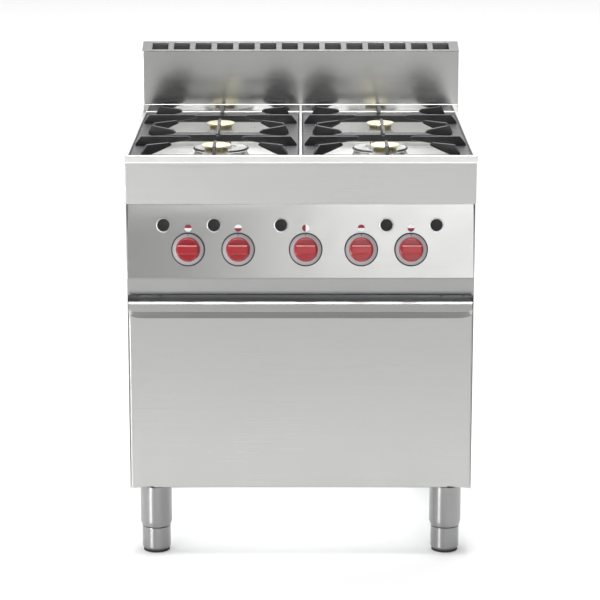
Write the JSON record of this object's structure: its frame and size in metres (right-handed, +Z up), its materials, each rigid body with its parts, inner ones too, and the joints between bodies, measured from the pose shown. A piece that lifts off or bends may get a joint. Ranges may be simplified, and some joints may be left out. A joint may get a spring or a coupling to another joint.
{
  "type": "commercial gas range",
  "caption": "Free-standing commercial gas range: open burners with lift-off cast pan grids over a gas oven with a drop-down door, adjustable feet and a slotted flue upstand.",
  "frame": {"origin": "centre of the bounding box in plan, at floor level under the feet", "axes": "+Z up, +X to the right seen from the front, -Y out of the front"},
  "size_m": [0.7, 0.68, 0.989],
  "materials": {
    "brushed_steel": "satin brushed stainless steel",
    "polished_steel": "polished stainless steel",
    "plain_steel": "plain galvanised or mill finish steel",
    "oven_enamel": "dark vitreous enamel",
    "bright_chrome": "bright plated",
    "cast_iron": "black enamelled cast iron",
    "burner_brass": "machined pale brass",
    "tap_brass": "turned brass",
    "pipe_aluminium": "drawn tube",
    "pipe_steel": "grey painted steel pipe",
    "burner_steel": "heat stained steel",
    "knob_red": "red gloss plastic with a silver skirt",
    "button_black": "black plastic",
    "mark_red": "red print",
    "mark_white": "white print",
    "glass_wool": "glass wool",
    "seal_rubber": "heat resisting seal"
  },
  "bodies": {
    "root": {"base_pan": "plain_steel", "burner_bases": "polished_steel", "burner_bodies": "cast_iron", "burner_feed_pipes": "pipe_aluminium", "control_panel": "brushed_steel", "dial_marks_red": "mark_red", "dial_marks_white": "mark_white", "door_seal": "seal_rubber", "flue_duct": "plain_steel", "flue_grille": "brushed_steel", "frame_rails": "plain_steel", "frame_screws": "bright_chrome", "front_frame": "plain_steel", "gas_manifold": "pipe_steel", "gas_taps": "tap_brass", "hinge_brackets": "plain_steel", "igniter_bodies": "bright_chrome", "left_side_panel": "brushed_steel", "leg_sleeves": "brushed_steel", "oven_burner": "burner_steel", "oven_floor_plate": "oven_enamel", "oven_insulation": "glass_wool", "oven_liner": "oven_enamel", "rear_panel": "plain_steel", "rear_screws": "bright_chrome", "right_side_panel": "brushed_steel", "shelf_runners": "bright_chrome", "splashback": "brushed_steel", "worktop": "brushed_steel"},
    "door": {"door_outer_panel": "brushed_steel", "door_inner_panel": "plain_steel", "door_insulation": "glass_wool", "door_handle": "brushed_steel", "door_hinge_arms": "plain_steel"},
    "shelf": {"oven_shelf": "bright_chrome"},
    "foot_front_left": {"foot_front_left": "brushed_steel"},
    "cap_front_left": {"burner_cap_front_left": "burner_brass"},
    "foot_front_right": {"foot_front_right": "brushed_steel"},
    "cap_front_right": {"burner_cap_front_right": "burner_brass"},
    "foot_rear_left": {"foot_rear_left": "brushed_steel"},
    "cap_rear_left": {"burner_cap_rear_left": "burner_brass"},
    "foot_rear_right": {"foot_rear_right": "brushed_steel"},
    "cap_rear_right": {"burner_cap_rear_right": "burner_brass"},
    "grid_left": {"left_pan_grid": "cast_iron"},
    "grid_right": {"right_pan_grid": "cast_iron"},
    "stem_1": {"tap_stem_1": "tap_brass"},
    "knob_1": {"knob_1": "knob_red"},
    "button_1": {"igniter_button_1": "button_black"},
    "stem_2": {"tap_stem_2": "tap_brass"},
    "knob_2": {"knob_2": "knob_red"},
    "button_2": {"igniter_button_2": "button_black"},
    "stem_3": {"tap_stem_3": "tap_brass"},
    "knob_3": {"knob_3": "knob_red"},
    "button_3": {"igniter_button_3": "button_black"},
    "stem_4": {"tap_stem_4": "tap_brass"},
    "knob_4": {"knob_4": "knob_red"},
    "button_4": {"igniter_button_4": "button_black"},
    "stem_5": {"tap_stem_5": "tap_brass"},
    "knob_5": {"knob_5": "knob_red"},
    "button_5": {"igniter_button_5": "button_black"}
  },
  "joints": [
    {"name": "door_hinge", "type": "hinge", "parent": "root", "child": "door", "pos_m": [0, -0.286, 0.158], "axis": [1, 0, 0], "range_deg": [0, 90]},
    {"name": "shelf_slide", "type": "slide", "parent": "root", "child": "shelf", "axis": [0, -1, 0], "range_m": [0, 0.03]},
    {"name": "foot_front_left_screw", "type": "slide", "parent": "root", "child": "foot_front_left", "axis": [0, 0, -1], "range_m": [0, 0.04]},
    {"name": "foot_front_right_screw", "type": "slide", "parent": "root", "child": "foot_front_right", "axis": [0, 0, -1], "range_m": [0, 0.04]},
    {"name": "foot_rear_left_screw", "type": "slide", "parent": "root", "child": "foot_rear_left", "axis": [0, 0, -1], "range_m": [0, 0.04]},
    {"name": "foot_rear_right_screw", "type": "slide", "parent": "root", "child": "foot_rear_right", "axis": [0, 0, -1], "range_m": [0, 0.04]},
    {"name": "knob_1_push", "type": "slide", "parent": "root", "child": "stem_1", "axis": [0, 0.9832, -0.1823], "range_m": [0, 0.0025], "stiffness_N_per_m": 1000, "springref_m": -0.004},
    {"name": "knob_1_turn", "type": "hinge", "parent": "stem_1", "child": "knob_1", "pos_m": [-0.2245, -0.29543, 0.648], "axis": [0, -0.9832, 0.1823], "range_deg": [0, 180]},
    {"name": "knob_2_push", "type": "slide", "parent": "root", "child": "stem_2", "axis": [0, 0.9832, -0.1823], "range_m": [0, 0.0025], "stiffness_N_per_m": 1000, "springref_m": -0.004},
    {"name": "knob_2_turn", "type": "hinge", "parent": "stem_2", "child": "knob_2", "pos_m": [-0.1246, -0.29543, 0.648], "axis": [0, -0.9832, 0.1823], "range_deg": [0, 180]},
    {"name": "knob_3_push", "type": "slide", "parent": "root", "child": "stem_3", "axis": [0, 0.9832, -0.1823], "range_m": [0, 0.0025], "stiffness_N_per_m": 1000, "springref_m": -0.004},
    {"name": "knob_3_turn", "type": "hinge", "parent": "stem_3", "child": "knob_3", "pos_m": [0.0102, -0.29543, 0.648], "axis": [0, -0.9832, 0.1823], "range_deg": [0, 270]},
    {"name": "knob_4_push", "type": "slide", "parent": "root", "child": "stem_4", "axis": [0, 0.9832, -0.1823], "range_m": [0, 0.0025], "stiffness_N_per_m": 1000, "springref_m": -0.004},
    {"name": "knob_4_turn", "type": "hinge", "parent": "stem_4", "child": "knob_4", "pos_m": [0.1211, -0.29543, 0.648], "axis": [0, -0.9832, 0.1823], "range_deg": [0, 180]},
    {"name": "knob_5_push", "type": "slide", "parent": "root", "child": "stem_5", "axis": [0, 0.9832, -0.1823], "range_m": [0, 0.0025], "stiffness_N_per_m": 1000, "springref_m": -0.004},
    {"name": "knob_5_turn", "type": "hinge", "parent": "stem_5", "child": "knob_5", "pos_m": [0.2206, -0.29543, 0.648], "axis": [0, -0.9832, 0.1823], "range_deg": [0, 180]},
    {"name": "button_1_press", "type": "slide", "parent": "root", "child": "button_1", "axis": [0, 0.9832, -0.1823], "range_m": [0, 0.003], "stiffness_N_per_m": 600, "springref_m": -0.004},
    {"name": "button_2_press", "type": "slide", "parent": "root", "child": "button_2", "axis": [0, 0.9832, -0.1823], "range_m": [0, 0.003], "stiffness_N_per_m": 600, "springref_m": -0.004},
    {"name": "button_3_press", "type": "slide", "parent": "root", "child": "button_3", "axis": [0, 0.9832, -0.1823], "range_m": [0, 0.003], "stiffness_N_per_m": 600, "springref_m": -0.004},
    {"name": "button_4_press", "type": "slide", "parent": "root", "child": "button_4", "axis": [0, 0.9832, -0.1823], "range_m": [0, 0.003], "stiffness_N_per_m": 600, "springref_m": -0.004},
    {"name": "button_5_press", "type": "slide", "parent": "root", "child": "button_5", "axis": [0, 0.9832, -0.1823], "range_m": [0, 0.003], "stiffness_N_per_m": 600, "springref_m": -0.004},
    {"name": "grid_left_lift", "type": "slide", "parent": "root", "child": "grid_left", "axis": [0, 0, 1], "range_m": [0, 0.1]},
    {"name": "grid_right_lift", "type": "slide", "parent": "root", "child": "grid_right", "axis": [0, 0, 1], "range_m": [0, 0.1]},
    {"name": "cap_front_left_lift", "type": "slide", "parent": "root", "child": "cap_front_left", "axis": [0, 0, 1], "range_m": [0, 0.06]},
    {"name": "cap_front_right_lift", "type": "slide", "parent": "root", "child": "cap_front_right", "axis": [0, 0, 1], "range_m": [0, 0.06]},
    {"name": "cap_rear_left_lift", "type": "slide", "parent": "root", "child": "cap_rear_left", "axis": [0, 0, 1], "range_m": [0, 0.06]},
    {"name": "cap_rear_right_lift", "type": "slide", "parent": "root", "child": "cap_rear_right", "axis": [0, 0, 1], "range_m": [0, 0.06]}
  ]
}
